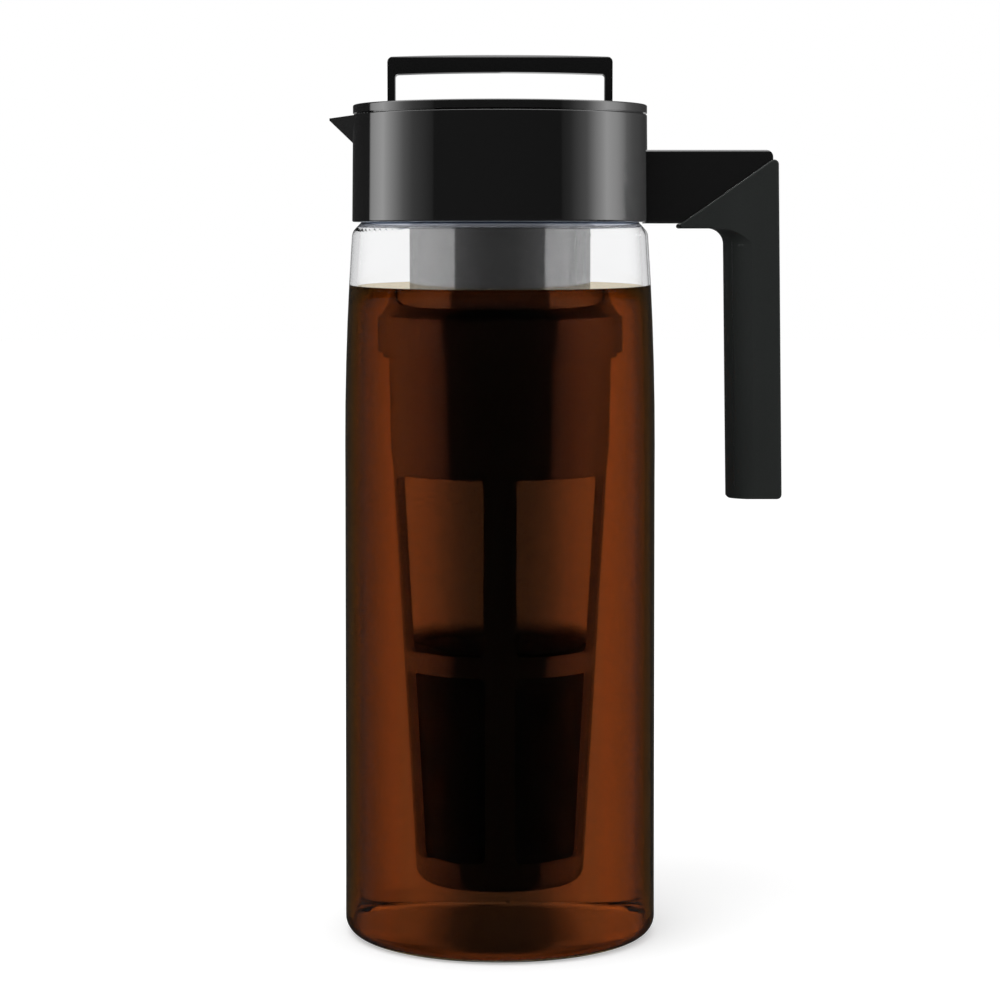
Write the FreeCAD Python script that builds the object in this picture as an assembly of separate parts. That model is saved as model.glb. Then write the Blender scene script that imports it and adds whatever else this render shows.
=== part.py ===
"""Cold brew coffee maker, about two litres: a clear pitcher with a collar, spout and handle,
a quarter-turn lid with a folding bail, and a screw-on infuser basket that hangs in the brew.

Millimetres. +Z is up, the origin is the centre of the base on the table. The spout points
to -X and the handle to +X. Each piece goes to parts/NAME.step.
"""
import FreeCAD, Part
import math
import os

from FreeCAD import Vector

# ---------------------------------------------------------------- driving dimensions
# Fits
fit_gap = 0.3            # between pieces that move past each other
snug_gap = 0.15          # between pieces of one body that slip together
edge_round = 0.5         # small moulded edges

# Pitcher
base_radius = 53.4       # outside of the wall, extended down to the table
body_draft = 0.55        # the wall's radius is this much less at the waist
waist_height = 203.7     # where the wall starts to turn in towards the shoulder
shoulder_rise = 37.3     # from the waist up to the shoulder
shoulder_inset = 2.65    # from the waist in to the shoulder
shoulder_slope = 3.2     # height of the slope from the shoulder in to the neck
shoulder_corner = 4.0
shoulder_ledge = 1.8     # wall under the collar, inside the shoulder
pitcher_wall = 2.6
floor_thickness = 3.4
base_corner = 5.8
base_recess = 0.6
foot_width = 6.0
base_pad_radius = 14.2
gate_ring_height = 0.4
neck_height = 23.8
snap_bead = 1.0          # ring on the neck that the collar snaps over
snap_bead_rise = 12.8    # above the bottom of the neck

# Collar
collar_wall = 2.7
collar_draft = 0.4
collar_lift = 0.2        # gap over the pitcher's shoulder
collar_flange = 2.0
collar_rim = 9.5         # above the flange
collar_gasket_thickness = 1.0

# Spout
spout_reach = 8.0        # beyond the collar
spout_half_width = 16.0  # at the spout's root, inside the collar
spout_drop = 12.0        # from the lip down to the root's lowest point
spout_lip_drop = 1.2     # the lip lies this much below the collar's top
spout_lip_width = 2.2
spout_keel = 3.0
spout_wall = 2.2

# Handle arm
arm_length = 41.7        # beyond the collar
arm_height = 24.6
arm_drop = 0.5           # the arm reaches this much below the collar
arm_depth = 19.0
arm_wall = 2.4
arm_corner = 2.4
arm_edge = 0.9

# Grip
grip_cheek = 0.8         # the head's sides over the arm
grip_sole = 1.7          # the head's underside below the arm
grip_back = 1.85         # the head's outer side beyond the arm
grip_start = 8.5         # from the collar to the head's pointed end
grip_head_drop = 1.8     # the head's top corner lies this much below the arm's top
grip_length = 91.6       # the bar, below the head's underside
grip_width = 18.4        # the bar, from its inner to its outer side
grip_lean = 0.93         # degrees that the bar leans outwards on its way down
grip_inner_fillet = 5.3
grip_wall = 2.5

# Lid
cap_thickness = 3.2
cap_seam = 0.4           # shadow gap round the cap's edge
cap_seam_width = 1.2
dish_clearance = 0.4     # round the folded bail
dish_wall = 1.9
dish_end_wall = 5.0
plug_upper_wall = 1.6
plug_lower_wall = 2.4
plug_skirt = 15.0        # below the collar's flange
pour_window_width = 22.0
pour_window_band = 2.0   # from the window up to the cap
pour_window_corner = 1.5
lid_groove_rise = 4.0    # from the skirt's end up to the gasket's groove
lid_groove_height = 3.6
lid_groove_depth = 1.3

# Bail
bail_inset = 11.8        # from the cap's edge in to the bail
bail_rise = 16.8         # above the lid
bail_sink = 0.2          # the folded bail lies this much below the lid's top
bail_arch = 0.7
bail_bar = 5.8
bail_leg = 2.6
bail_depth = 8.0
bail_corner = 1.8
bail_edge = 1.3
bail_pin_radius = 1.8
bail_pin_length = 3.3
bail_pin_clearance = 0.05

# Infuser
pour_gap = 8.1           # ring-shaped passage round the neck's flange
neck_tube_wall = 2.2
neck_tube_length = 66.8
neck_flange_width = 2.7
neck_gasket_thickness = 1.3
ring_wall = 4.95
ring_height = 16.4
ring_chamfer = 2.7
ring_step_height = 1.7
ring_step_inset = 1.55
ring_seat = 4.7          # how far the basket's rim goes up into the ring
ring_ledge = 1.5
basket_rim_step = 2.0    # the basket's rim is this much wider than the neck tube
basket_floor_gap = 14.9  # from the basket down to the pitcher's floor
basket_cup_height = 35.0
basket_cup_draft = 0.6
basket_step = 6.0        # the cup narrows to the ribbed frame over this height
basket_step_inset = 0.6
basket_taper = 7.0       # the frame's radius is this much less at the bottom
basket_bottom_corner = 5.0
basket_wall = 2.5
basket_base_thickness = 2.4
rib_width = 9.3
window_corner = 2.2
window_base_band = 10.0  # solid frame below the lower windows
window_middle_band = 6.9
window_top_band = 3.2
lower_window_height = 63.8
mesh_thickness = 0.4
mesh_gap = 0.2
mesh_overlap = 2.0

# ---------------------------------------------------------------- derived places
waist_radius = base_radius - body_draft
shoulder_radius = waist_radius - shoulder_inset
shoulder_height = waist_height + shoulder_rise
neck_bottom = shoulder_height + shoulder_slope
neck_top = neck_bottom + neck_height
collar_radius = shoulder_radius
collar_bore = collar_radius - collar_wall
collar_bottom = neck_bottom + collar_lift
collar_top_radius = collar_radius - collar_draft
neck_radius = collar_bore - fit_gap
neck_bore = neck_radius - pitcher_wall
flange_bottom = neck_top + collar_gasket_thickness
flange_top = flange_bottom + collar_flange
collar_top = flange_top + collar_rim

arm_end = collar_radius + arm_length
arm_bottom = collar_bottom - arm_drop
arm_top = arm_bottom + arm_height
core_half_depth = arm_depth / 2 - arm_wall - snug_gap
grip_half_depth = arm_depth / 2 + grip_cheek
grip_ledge = arm_bottom - grip_sole
grip_bottom = grip_ledge - grip_length
grip_outer = arm_end + grip_back
grip_nose = collar_radius + grip_start
lean = math.tan(math.radians(grip_lean))

cap_top = collar_top + cap_thickness
bail_top = cap_top + bail_rise
bail_half_width = collar_top_radius - bail_inset
bail_pivot_height = cap_top - bail_sink - bail_depth / 2
dish_half_length = bail_half_width + dish_clearance
dish_half_width = bail_top - bail_pivot_height + dish_clearance
dish_corner = bail_corner + dish_clearance
dish_floor = bail_pivot_height - bail_depth / 2 - dish_clearance
tub_bottom = dish_floor - dish_wall
plug_upper_radius = collar_bore - fit_gap
plug_upper_inner = plug_upper_radius - plug_upper_wall
plug_lower_radius = neck_bore - 2 * fit_gap
plug_lower_inner = plug_lower_radius - plug_lower_wall
plug_step = flange_top + fit_gap
plug_floor = plug_step + plug_upper_wall
plug_bottom = flange_top - plug_skirt
lid_groove_bottom = plug_bottom + lid_groove_rise
lid_groove_top = lid_groove_bottom + lid_groove_height

neck_flange_radius = plug_lower_inner - pour_gap
neck_tube_radius = neck_flange_radius - neck_flange_width
neck_tube_bottom = tub_bottom - neck_tube_length
ring_bore = neck_tube_radius + fit_gap
ring_radius = ring_bore + ring_wall
ledge_top = neck_tube_bottom - neck_gasket_thickness - 2 * fit_gap
rim_height = ledge_top - ring_ledge
ring_bottom = rim_height - ring_seat
ring_top = ring_bottom + ring_height
rim_radius = neck_tube_radius + basket_rim_step
cup_radius = rim_radius - basket_cup_draft
cup_bottom = rim_height - basket_cup_height
frame_top = cup_bottom - basket_step
frame_top_radius = cup_radius - basket_step_inset
basket_bottom = floor_thickness + basket_floor_gap
basket_floor = basket_bottom + basket_base_thickness
basket_bottom_radius = frame_top_radius - basket_taper
lower_window = basket_bottom + window_base_band
lower_window_top = lower_window + lower_window_height
upper_window = lower_window_top + window_middle_band
upper_window_top = frame_top - window_top_band


# ---------------------------------------------------------------- shape helpers
def outline(corners, place):
    """A closed wire through corners (a, b, rounding). place turns (a, b) into a point."""
    points = [place(a, b) for a, b, _ in corners]
    ends = []
    for i, (_, _, rounding) in enumerate(corners):
        corner = points[i]
        if rounding == 0:
            ends.append((corner, None, corner))
            continue
        back = (points[i - 1] - corner).normalize()
        ahead = (points[(i + 1) % len(points)] - corner).normalize()
        half_angle = back.getAngle(ahead) / 2
        setback = rounding / math.tan(half_angle)
        middle = (back + ahead).normalize()
        nearest = rounding / math.sin(half_angle) - rounding
        ends.append((corner + back * setback, corner + middle * nearest, corner + ahead * setback))
    edges = []
    for i, (start, middle, end) in enumerate(ends):
        if middle is not None:
            edges.append(Part.Arc(start, middle, end).toShape())
        following = ends[(i + 1) % len(ends)][0]
        if end.distanceToPoint(following) > 1e-6:
            edges.append(Part.LineSegment(end, following).toShape())
    return Part.Wire(edges)


def revolved(corners):
    """Solid of revolution about Z from an outline of (radius, height, rounding)."""
    face = Part.Face(outline(corners, lambda r, z: Vector(r, 0, z)))
    return face.revolve(Vector(0, 0, 0), Vector(0, 0, 1), 360)


def side_plate(corners, half_depth):
    """Outline of (x, z, rounding) in the XZ plane, thickened evenly about it."""
    face = Part.Face(outline(corners, lambda x, z: Vector(x, -half_depth, z)))
    return face.extrude(Vector(0, 2 * half_depth, 0))


def end_plate(corners, half_width):
    """Outline of (y, z, rounding) in the YZ plane, thickened evenly about it."""
    face = Part.Face(outline(corners, lambda y, z: Vector(-half_width, y, z)))
    return face.extrude(Vector(2 * half_width, 0, 0))


def plan_block(corners, bottom, rise):
    """Outline of (x, y, rounding) at the bottom height, raised along the vector rise."""
    face = Part.Face(outline(corners, lambda x, y: Vector(x, y, bottom)))
    return face.extrude(rise)


def rectangle(half_a, half_b, rounding):
    """Corners of a centred rectangle."""
    signs = ((-1, -1), (1, -1), (1, 1), (-1, 1))
    return [(half_a * a, half_b * b, rounding) for a, b in signs]


def ring(inner, outer, bottom, top, rounding=0.0):
    return revolved([(inner, bottom, rounding), (outer, bottom, rounding),
                     (outer, top, rounding), (inner, top, rounding)])


def cylinder(radius, bottom, top):
    return Part.makeCylinder(radius, top - bottom, Vector(0, 0, bottom))


def cross_pin(radius, start_x, end_x, height):
    """Cylinder along X at a height on the middle plane."""
    return Part.makeCylinder(radius, end_x - start_x, Vector(start_x, 0, height), Vector(1, 0, 0))


def rounded_edges(shape, radius, wanted):
    """Rounds the edges that wanted(edge) picks."""
    return shape.makeFillet(radius, [e for e in shape.Edges if wanted(e)])


def near(a, b):
    return abs(a - b) < 1e-4


# ---------------------------------------------------------------- pitcher
def waist_rounding(rise, spare):
    """Radius of the long curve at the waist that leaves this much spare below the shoulder."""
    turn = math.atan(shoulder_inset / rise) - math.atan(body_draft / waist_height)
    return (rise - spare) / math.tan(turn / 2)


def make_pitcher_body():
    """Clear jug: drafted wall, soft shoulder with a short slope, and a neck with a snap bead."""
    inner_shoulder = shoulder_radius - pitcher_wall
    ledge_height = neck_bottom - shoulder_ledge
    ledge_rise = ledge_height - waist_height
    inner_corner = max(base_corner - pitcher_wall, edge_round)
    foot_outer = base_radius - base_corner
    foot_inner = foot_outer - foot_width
    snap_middle = neck_bottom + snap_bead_rise
    outside = [
        (0, 0, 0),
        (base_pad_radius, 0, 0),
        (base_pad_radius + base_recess, base_recess, 0),
        (foot_inner - base_recess, base_recess, 0),
        (foot_inner, 0, 0),
        (base_radius, 0, base_corner),
        (waist_radius, waist_height, waist_rounding(shoulder_rise, shoulder_corner / 2)),
        (shoulder_radius, shoulder_height, shoulder_corner),
        (neck_radius, neck_bottom, 0),
        (neck_radius, snap_middle - 2 * snap_bead, 0),
        (neck_radius + snap_bead, snap_middle - snap_bead / 2, 0),
        (neck_radius + snap_bead, snap_middle + snap_bead / 2, 0),
        (neck_radius, snap_middle + 2 * snap_bead, 0),
        (neck_radius, neck_top, edge_round),
    ]
    inside = [
        (neck_bore, neck_top, edge_round),
        (neck_bore, ledge_height, edge_round),
        (inner_shoulder, ledge_height, shoulder_corner / 2),
        (waist_radius - pitcher_wall, waist_height, waist_rounding(ledge_rise, shoulder_corner)),
        (base_radius - pitcher_wall, floor_thickness, inner_corner),
        (base_pad_radius + gate_ring_height, floor_thickness, 0),
        (base_pad_radius, floor_thickness + gate_ring_height, 0),
        (base_pad_radius - gate_ring_height, floor_thickness, 0),
        (0, floor_thickness, 0),
    ]
    return revolved(outside + inside)


# ---------------------------------------------------------------- collar
def spout_wedge(shift):
    """The beak's solid wedge, from a wide root inside the collar to its pointed lip.

    shift moves it inwards and up, which gives the trough that leaves even walls.
    """
    root_x = 1.5 - collar_bore + shift
    lip_x = shift - collar_top_radius - spout_reach
    root_top = collar_top - edge_round / 2 + shift
    root_bottom = collar_top - spout_lip_drop - spout_drop + shift
    lip_top = collar_top - spout_lip_drop + shift
    lip_bottom = lip_top - spout_lip_width / 3
    sections = (
        (root_x, spout_half_width, spout_keel / 2, root_top, root_bottom),
        (lip_x, spout_lip_width / 2, spout_lip_width / 4, lip_top, lip_bottom),
    )
    wires = []
    for x, wide, narrow, top, bottom in sections:
        corners = ((-wide, top), (-narrow, bottom), (narrow, bottom), (wide, top), (-wide, top))
        wires.append(Part.makePolygon([Vector(x, y, z) for y, z in corners]))
    return Part.makeLoft(wires, True, True)


def arm_block():
    """Outside of the handle arm, from inside the collar's wall to the rounded end."""
    root = collar_bore + collar_wall / 2
    side = side_plate([
        (root, arm_bottom, 0),
        (arm_end, arm_bottom, edge_round),
        (arm_end, arm_top, arm_corner),
        (root, arm_top, 0),
    ], arm_depth)
    middle = (arm_bottom + arm_top) / 2
    section = end_plate([(y, z + middle, r) for y, z, r
                         in rectangle(arm_depth / 2, arm_height / 2, arm_edge)], arm_end + 1)
    return side.common(section)


def make_collar():
    """Gloss collar: straight-sided ring with an inner flange, a beak and a channel-shaped arm."""
    snap_middle = neck_bottom + snap_bead_rise
    groove_low = snap_middle - snap_bead / 2 - fit_gap
    groove_high = snap_middle + snap_bead / 2 + fit_gap
    shell = revolved([
        (collar_radius, collar_bottom, edge_round),
        (collar_top_radius, collar_top, edge_round),
        (collar_bore, collar_top, edge_round),
        (collar_bore, flange_top, edge_round),
        (neck_bore, flange_top, edge_round),
        (neck_bore, flange_bottom, 0),
        (collar_bore, flange_bottom, 0),
        (collar_bore, groove_high + snap_bead, 0),
        (collar_bore + snap_bead, groove_high, 0),
        (collar_bore + snap_bead, groove_low, 0),
        (collar_bore, groove_low - snap_bead, 0),
        (collar_bore, collar_bottom, edge_round),
    ])
    channel = side_plate([
        (collar_radius + arm_wall, arm_bottom - 1, 0),
        (arm_end - arm_wall, arm_bottom - 1, 0),
        (arm_end - arm_wall, arm_top - arm_wall, edge_round),
        (collar_radius + arm_wall, arm_top - arm_wall, edge_round),
    ], core_half_depth + snug_gap)
    above = cylinder(arm_end, collar_top, collar_top + spout_drop)
    beak = spout_wedge(0).cut(cylinder(collar_bore + collar_wall / 4, collar_bottom, collar_top))
    trough = spout_wedge(spout_wall).cut(cylinder(collar_bore, collar_bottom, flange_top))
    body = shell.fuse([beak, arm_block()]).removeSplitter()
    return body.cut([channel, trough, above])


def make_collar_gasket():
    """Flat ring squeezed between the pitcher's rim and the collar's flange."""
    return ring(neck_bore + edge_round, neck_radius - edge_round, neck_top, flange_bottom)


# ---------------------------------------------------------------- handle
def bar_outer(height):
    """X of the bar's outer side at a height: it leans outwards on its way down."""
    return grip_outer + (arm_top - height) * lean


def bar_inner(height):
    return bar_outer(height) - grip_width


def make_handle_core():
    """Rigid L that fills the arm's channel and runs down inside the grip."""
    leg_left = collar_radius + arm_wall + snug_gap
    leg_right = arm_end - arm_wall - snug_gap
    leg_top = arm_top - arm_wall - snug_gap
    tip = grip_bottom + grip_wall
    shoulder = arm_bottom - snug_gap
    return side_plate([
        (leg_left, arm_bottom, 0),
        (leg_left, leg_top, edge_round),
        (leg_right, leg_top, edge_round),
        (leg_right, shoulder, 0),
        (bar_outer(shoulder) - grip_wall, shoulder, 0),
        (bar_outer(tip) - grip_wall, tip, grip_wall),
        (bar_inner(tip) + grip_wall, tip, grip_wall),
        (bar_inner(arm_bottom) + grip_wall, arm_bottom, grip_inner_fillet),
    ], core_half_depth)


def make_handle_grip():
    """Silicone grip: a slanted flat head over the arm, flaring from a bar with a round inner side."""
    small, large = 1.2, 1.6
    side = side_plate([
        (grip_nose, grip_ledge, 0.8),
        (bar_inner(grip_ledge), grip_ledge, grip_inner_fillet),
        (bar_inner(grip_bottom), grip_bottom, small),
        (bar_outer(grip_bottom), grip_bottom, large),
        (grip_outer, arm_top - grip_head_drop, large),
    ], grip_half_depth)
    side = rounded_edges(side, 0.6, lambda e: near(abs(e.CenterOfMass.y), grip_half_depth))

    round_side = grip_half_depth + 0.1
    low = grip_bottom - 1
    inner, outer = bar_inner(low), bar_outer(low) + 1
    bar = plan_block([
        (inner, -round_side, round_side - 0.01),
        (outer, -round_side, 1.0),
        (outer, round_side, 1.0),
        (inner, round_side, round_side - 0.01),
    ], low, Vector((low - grip_ledge - 1) * lean, 0, grip_ledge + 1 - low))
    block_half = 2 * arm_depth
    ledge_block = plan_block(rectangle(2 * arm_end, block_half, 0), grip_ledge, Vector(0, 0, 2 * arm_height))
    form = bar.fuse(ledge_block).removeSplitter()
    middle = bar_outer(grip_ledge) - grip_width / 2
    form = rounded_edges(form, grip_inner_fillet,
                         lambda e: near(e.CenterOfMass.z, grip_ledge)
                         and e.BoundBox.YLength < block_half and e.CenterOfMass.x < middle
                         and e.CenterOfMass.x > 0 and e.BoundBox.XLength < grip_width)
    return side.common(form).cut([arm_block(), make_handle_core()])


# ---------------------------------------------------------------- lid
def make_lid_cap():
    """Cap: a thin disc with a rounded dish that takes the folded bail, and a tub under it."""
    seam_radius = collar_top_radius - cap_seam_width
    disc = revolved([
        (0, collar_top, 0),
        (seam_radius, collar_top, 0),
        (seam_radius, collar_top + cap_seam, 0),
        (collar_top_radius, collar_top + cap_seam, 0),
        (collar_top_radius, cap_top, edge_round),
        (0, cap_top, 0),
    ])
    up = Vector(0, 0, collar_top - tub_bottom)
    tub = plan_block(rectangle(dish_half_length + dish_end_wall, dish_half_width + dish_wall,
                               dish_corner + dish_wall), tub_bottom, up)
    plug_space = revolved([
        (0, plug_bottom, 0),
        (plug_lower_inner - fit_gap, plug_bottom, 0),
        (plug_lower_inner - fit_gap, plug_step - plug_lower_wall + fit_gap, 0),
        (plug_upper_inner - fit_gap, plug_floor + fit_gap, 0),
        (plug_upper_inner - fit_gap, collar_top, 0),
        (0, collar_top, 0),
    ])
    tub = tub.common(plug_space)
    dish = plan_block(rectangle(dish_half_length, dish_half_width, dish_corner),
                      dish_floor, Vector(0, 0, cap_top + 1 - dish_floor))
    dish = rounded_edges(dish, edge_round, lambda e: near(e.CenterOfMass.z, dish_floor))
    bore_reach = bail_half_width + bail_pin_length + fit_gap
    bore = cross_pin(bail_pin_radius + bail_pin_clearance, -bore_reach, bore_reach, bail_pivot_height)
    cap = disc.fuse(tub).removeSplitter().cut([dish, bore])
    return rounded_edges(cap, edge_round,
                         lambda e: near(e.CenterOfMass.z, cap_top)
                         and e.BoundBox.XLength < 2 * dish_half_length + 1)


def make_lid_plug():
    """Hollow plug: an upper ring with two pour windows, and a lower skirt with a gasket groove."""
    groove_radius = plug_lower_radius - lid_groove_depth
    plug = revolved([
        (plug_upper_radius, collar_top, 0),
        (plug_upper_radius, plug_step, edge_round),
        (plug_lower_radius, plug_step, edge_round),
        (plug_lower_radius, lid_groove_top, 0),
        (groove_radius, lid_groove_top, 0),
        (groove_radius, lid_groove_bottom, 0),
        (plug_lower_radius, lid_groove_bottom, 0),
        (plug_lower_radius, plug_bottom, edge_round),
        (plug_lower_inner, plug_bottom, edge_round),
        (plug_lower_inner, plug_step - plug_lower_wall, 0),
        (plug_upper_inner, plug_floor, 0),
        (plug_upper_inner, collar_top, 0),
    ])
    top = collar_top - pour_window_band
    middle = (plug_floor + top) / 2
    corners = rectangle(pour_window_width / 2, (top - plug_floor) / 2, pour_window_corner)
    window = side_plate([(x, z + middle, r) for x, z, r in corners], collar_radius)
    return plug.cut(window)


def make_lid_gasket():
    """Silicone ring in the plug's groove, lightly crowned."""
    return ring(plug_lower_radius - lid_groove_depth + fit_gap, neck_bore - fit_gap,
                lid_groove_bottom + fit_gap, lid_groove_top - fit_gap, edge_round)


def arched_plate(half_width, bottom, side_top, middle_top, corner, depth):
    """Upright plate across X with an arched top edge whose two ends are rounded."""
    low_left, low_right = Vector(-half_width, 0, bottom), Vector(half_width, 0, bottom)
    left, right = Vector(-half_width, 0, side_top), Vector(half_width, 0, side_top)
    edges = [Part.LineSegment(left, low_left).toShape(),
             Part.LineSegment(low_left, low_right).toShape(),
             Part.LineSegment(low_right, right).toShape(),
             Part.Arc(right, Vector(0, 0, middle_top), left).toShape()]
    plate = Part.Face(Part.Wire(edges)).extrude(Vector(0, depth, 0))
    plate.translate(Vector(0, -depth / 2, 0))
    return rounded_edges(plate, corner, lambda e: near(abs(e.CenterOfMass.x), half_width)
                         and near(e.CenterOfMass.z, side_top))


def make_bail_handle():
    """Thin U with a slightly arched bar, rounded feet and two stub pins."""
    foot = bail_depth / 2
    low = bail_pivot_height - foot
    bar_bottom = bail_top - bail_bar
    frame = arched_plate(bail_half_width, low, bail_top - bail_arch, bail_top, bail_corner, bail_depth)
    opening = arched_plate(bail_half_width - bail_leg, low - 1, bar_bottom - bail_arch, bar_bottom,
                           2 * edge_round, bail_depth + 2)
    section = end_plate([(-foot, low, foot - 0.01), (foot, low, foot - 0.01),
                         (foot, bail_top, bail_edge), (-foot, bail_top, bail_edge)],
                        bail_half_width + 1)
    root = bail_half_width - bail_leg / 2
    tip = bail_half_width + bail_pin_length
    pins = [cross_pin(bail_pin_radius, start, end, bail_pivot_height)
            for start, end in ((-tip, -root), (root, tip))]
    return frame.cut(opening).common(section).fuse(pins).removeSplitter()


# ---------------------------------------------------------------- infuser
def make_infuser_neck():
    """Tube under the lid, closed at the top, that the infuser screws onto."""
    inner = neck_tube_radius - neck_tube_wall
    plate_bottom = tub_bottom - neck_tube_wall
    return revolved([
        (0, tub_bottom, 0),
        (neck_flange_radius, tub_bottom, edge_round),
        (neck_flange_radius, plate_bottom, edge_round),
        (neck_tube_radius, plate_bottom, edge_round),
        (neck_tube_radius, neck_tube_bottom, edge_round),
        (inner, neck_tube_bottom, edge_round),
        (inner, plate_bottom, 3 * edge_round),
        (0, plate_bottom, 0),
    ])


def make_neck_gasket():
    """Flat ring between the end of the neck tube and the ledge in the infuser's ring."""
    return ring(neck_tube_radius - neck_tube_wall, neck_tube_radius,
                ledge_top + fit_gap, neck_tube_bottom - fit_gap)


def make_infuser_ring():
    """Screw ring round the neck tube's end, with a ledge for the seal and a seat for the basket."""
    ledge_radius = neck_tube_radius - neck_tube_wall
    seat = rim_radius + snug_gap
    step_radius = ring_radius - ring_step_inset
    step_height = ring_bottom + ring_step_height
    return revolved([
        (ring_bore, ring_top, 0),
        (ring_bore + edge_round, ring_top, 0),
        (ring_radius, ring_top - ring_chamfer, edge_round),
        (ring_radius, step_height, edge_round),
        (step_radius, step_height, 0),
        (step_radius, ring_bottom, edge_round),
        (seat, ring_bottom, 0),
        (seat, rim_height, 0),
        (ledge_radius, rim_height, 0),
        (ledge_radius, ledge_top, 0),
        (ring_bore, ledge_top, 0),
    ])


def basket_radius(height):
    """Outside of the tapered frame at a height below the cup."""
    share = (height - basket_bottom) / (frame_top - basket_bottom)
    return basket_bottom_radius + (frame_top_radius - basket_bottom_radius) * share


def make_basket_frame():
    """Moulded basket: a solid cup on top, then four ribs, a band and a closed base."""
    inner_corner = max(basket_bottom_corner - basket_wall, edge_round)
    frame = revolved([
        (rim_radius, rim_height, 0),
        (cup_radius, cup_bottom, 2.0),
        (frame_top_radius, frame_top, 2.0),
        (basket_bottom_radius, basket_bottom, basket_bottom_corner),
        (0, basket_bottom, 0),
        (0, basket_floor, 0),
        (basket_radius(basket_floor) - basket_wall, basket_floor, inner_corner),
        (frame_top_radius - basket_wall, frame_top, 0),
        (cup_radius - basket_wall, cup_bottom, 0),
        (rim_radius - basket_wall, rim_height, 0),
    ])
    side = rib_width / 2
    reach = rim_radius + 2
    windows = []
    for low, high in ((lower_window, lower_window_top), (upper_window, upper_window_top)):
        block = Part.makeBox(reach, reach, high - low, Vector(side, side, low))
        block = rounded_edges(block, window_corner,
                              lambda e: near(min(e.CenterOfMass.x, e.CenterOfMass.y), side)
                              and (near(e.CenterOfMass.z, low) or near(e.CenterOfMass.z, high)))
        for quarter in range(4):
            turned = block.copy()
            turned.rotate(Vector(0, 0, 0), Vector(0, 0, 1), 90 * quarter)
            windows.append(turned)
    return frame.cut(windows)


def make_mesh(low, high):
    """Fine filter cloth of one window row: a thin tapered sleeve against the frame's inner side."""
    bottom, top = low - mesh_overlap, high + mesh_overlap
    outer_bottom = basket_radius(bottom) - basket_wall - mesh_gap
    outer_top = basket_radius(top) - basket_wall - mesh_gap
    return revolved([
        (outer_bottom - mesh_thickness, bottom, 0), (outer_bottom, bottom, 0),
        (outer_top, top, 0), (outer_top - mesh_thickness, top, 0),
    ])


# ---------------------------------------------------------------- all pieces
pieces = {
    "pitcher_body": make_pitcher_body(),
    "collar": make_collar(),
    "collar_gasket": make_collar_gasket(),
    "handle_core": make_handle_core(),
    "handle_grip": make_handle_grip(),
    "lid_cap": make_lid_cap(),
    "lid_plug": make_lid_plug(),
    "lid_gasket": make_lid_gasket(),
    "bail_handle": make_bail_handle(),
    "infuser_neck": make_infuser_neck(),
    "neck_gasket": make_neck_gasket(),
    "infuser_ring": make_infuser_ring(),
    "basket_frame": make_basket_frame(),
    "mesh_upper": make_mesh(upper_window, upper_window_top),
    "mesh_lower": make_mesh(lower_window, lower_window_top),
}
os.makedirs("parts", exist_ok=True)
for name, shape in pieces.items():
    shape.exportStep(f"parts/{name}.step")
    print(f"{name:16s} solids {len(shape.Solids)} valid {shape.isValid()} volume {shape.Volume:10.1f}")
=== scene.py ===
"""Looks of the cold brew coffee maker: finishes, coffee, grounds, studio light and camera.

Metres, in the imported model's frame: +Z up, spout towards -X, handle towards +X, the camera
looks along +Y. The coffee rides on the pitcher and the grounds ride on the infuser.
"""

import math

import bpy
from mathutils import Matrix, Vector, noise


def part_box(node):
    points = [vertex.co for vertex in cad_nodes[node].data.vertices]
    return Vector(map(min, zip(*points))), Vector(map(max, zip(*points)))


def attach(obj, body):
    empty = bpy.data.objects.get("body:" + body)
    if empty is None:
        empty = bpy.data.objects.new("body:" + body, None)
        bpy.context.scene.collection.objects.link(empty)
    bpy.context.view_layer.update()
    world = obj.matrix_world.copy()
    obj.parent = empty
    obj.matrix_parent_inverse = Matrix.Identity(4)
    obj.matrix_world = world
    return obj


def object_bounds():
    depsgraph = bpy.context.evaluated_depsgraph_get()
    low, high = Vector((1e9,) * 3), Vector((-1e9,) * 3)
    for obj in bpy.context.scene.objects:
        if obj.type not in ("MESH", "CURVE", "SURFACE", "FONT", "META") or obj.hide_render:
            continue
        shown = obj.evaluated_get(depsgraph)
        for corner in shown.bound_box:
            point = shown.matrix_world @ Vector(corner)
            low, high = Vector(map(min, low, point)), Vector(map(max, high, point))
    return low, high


# ---------------------------------------------------------------- sizes and levels
MM = 0.001

# Camera, fitted to the photograph's 1000 x 1000 frame
CAMERA_DISTANCE = 1.001
CAMERA_HEIGHT = 0.23829
CAMERA_TILT = 5.071             # degrees below the horizon
CAMERA_SENSOR = 36              # mm wide
CAMERA_LENS = 105.48            # mm

# Coffee
COFFEE_LEVEL = 222.1 * MM
COFFEE_TILT = 1.0               # degrees that its surface rises towards the back, to be seen
COFFEE_OVERLAP = 0.3 * MM       # the coffee reaches this far into the wall, so no air shows
COFFEE_RIM_STEP = 0.5 * MM      # width of the level ring beside the wall
COFFEE_SKIN = 0.6 * MM          # clear plastic left round the coffee in the base
COFFEE_SKIN_BOTTOM = 0.9 * MM
COFFEE_BOTTOM_EDGE = 0.4 * MM   # height of the slope round the bottom
COFFEE_BASE_TOP = 16.0 * MM     # from here up the coffee follows the inner wall
COFFEE_BASE_STEPS = 12
COFFEE_WALL_STEPS = 24
COFFEE_ROUND_STEPS = 256
COFFEE_ABSORPTION = (18.6, 22.5, 32.5)      # per metre: red, green, blue
COFFEE_IOR = 1.16               # low, for the little bending that the photograph shows
SAME_HEIGHT = 0.01 * MM

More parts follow.
